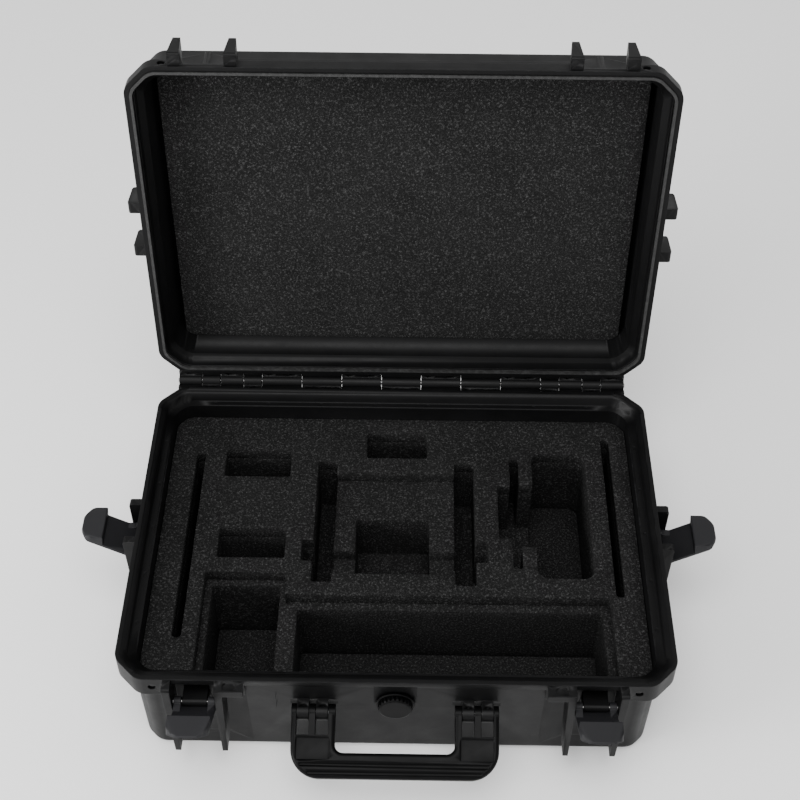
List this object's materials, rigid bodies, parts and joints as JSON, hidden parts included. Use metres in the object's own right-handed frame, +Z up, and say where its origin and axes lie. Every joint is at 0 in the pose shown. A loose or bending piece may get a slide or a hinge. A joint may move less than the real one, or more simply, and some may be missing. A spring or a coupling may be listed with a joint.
{
  "type": "drone carrying case",
  "caption": "Hard moulded carrying case, lid open, with a pocketed foam insert, draw latches, folding handle and valve.",
  "frame": {"origin": "centre of the base's flat underside", "axes": "+X along the length to the right, +Y towards the hinge, +Z up"},
  "size_m": [0.6622, 0.5565, 0.5553],
  "materials": {
    "shell_plastic": "fine moulded texture, soft sheen",
    "latch_plastic": "satin moulded",
    "handle_plastic": "satin moulded",
    "valve_plastic": "satin moulded",
    "seal_rubber": "soft matt rubber",
    "steel": "drawn steel rod",
    "foam": "open-cell charcoal foam"
  },
  "bodies": {
    "base": {"base_shell": "shell_plastic", "foam_base_pad": "foam", "foam_core": "foam", "foam_top_layer": "foam", "hinge_rod": "steel", "handle_pin_left": "steel", "handle_pin_right": "steel", "valve_housing": "valve_plastic", "valve_seal": "seal_rubber", "valve_nut": "valve_plastic", "latch_pin_front_left": "steel", "latch_pin_front_right": "steel", "latch_pin_side_left": "steel", "latch_pin_side_right": "steel"},
    "lid": {"lid_shell": "shell_plastic", "lid_seal": "seal_rubber", "lid_foam": "foam"},
    "handle": {"carry_handle": "handle_plastic"},
    "knob": {"valve_knob": "valve_plastic"},
    "latch_front_left": {"latch_front_left": "latch_plastic"},
    "latch_front_right": {"latch_front_right": "latch_plastic"},
    "latch_side_left": {"latch_side_left": "latch_plastic"},
    "latch_side_right": {"latch_side_right": "latch_plastic"}
  },
  "joints": [
    {"name": "lid_hinge", "type": "hinge", "parent": "base", "child": "lid", "pos_m": [0, 0.2045, 0.147], "axis": [1, 0, 0], "range_deg": [0, 95]},
    {"name": "latch_front_left_pivot", "type": "hinge", "parent": "base", "child": "latch_front_left", "pos_m": [-0.194, -0.197, 0.115], "axis": [-1, 0, 0], "range_deg": [0, 58]},
    {"name": "latch_front_right_pivot", "type": "hinge", "parent": "base", "child": "latch_front_right", "pos_m": [0.194, -0.197, 0.115], "axis": [-1, 0, 0], "range_deg": [0, 58]},
    {"name": "latch_side_left_pivot", "type": "hinge", "parent": "base", "child": "latch_side_left", "pos_m": [-0.276, 0, 0.115], "axis": [0, 1, 0], "range_deg": [0, 58]},
    {"name": "latch_side_right_pivot", "type": "hinge", "parent": "base", "child": "latch_side_right", "pos_m": [0.276, 0, 0.115], "axis": [0, -1, 0], "range_deg": [0, 58]},
    {"name": "handle_pivot", "type": "hinge", "parent": "base", "child": "handle", "pos_m": [0, -0.198, 0.101], "axis": [-1, 0, 0], "range_deg": [-62, 35]},
    {"name": "valve_turn", "type": "hinge", "parent": "base", "child": "knob", "pos_m": [0, -0.193, 0.103], "axis": [0, -1, 0], "range_deg": [0, 180]}
  ]
}
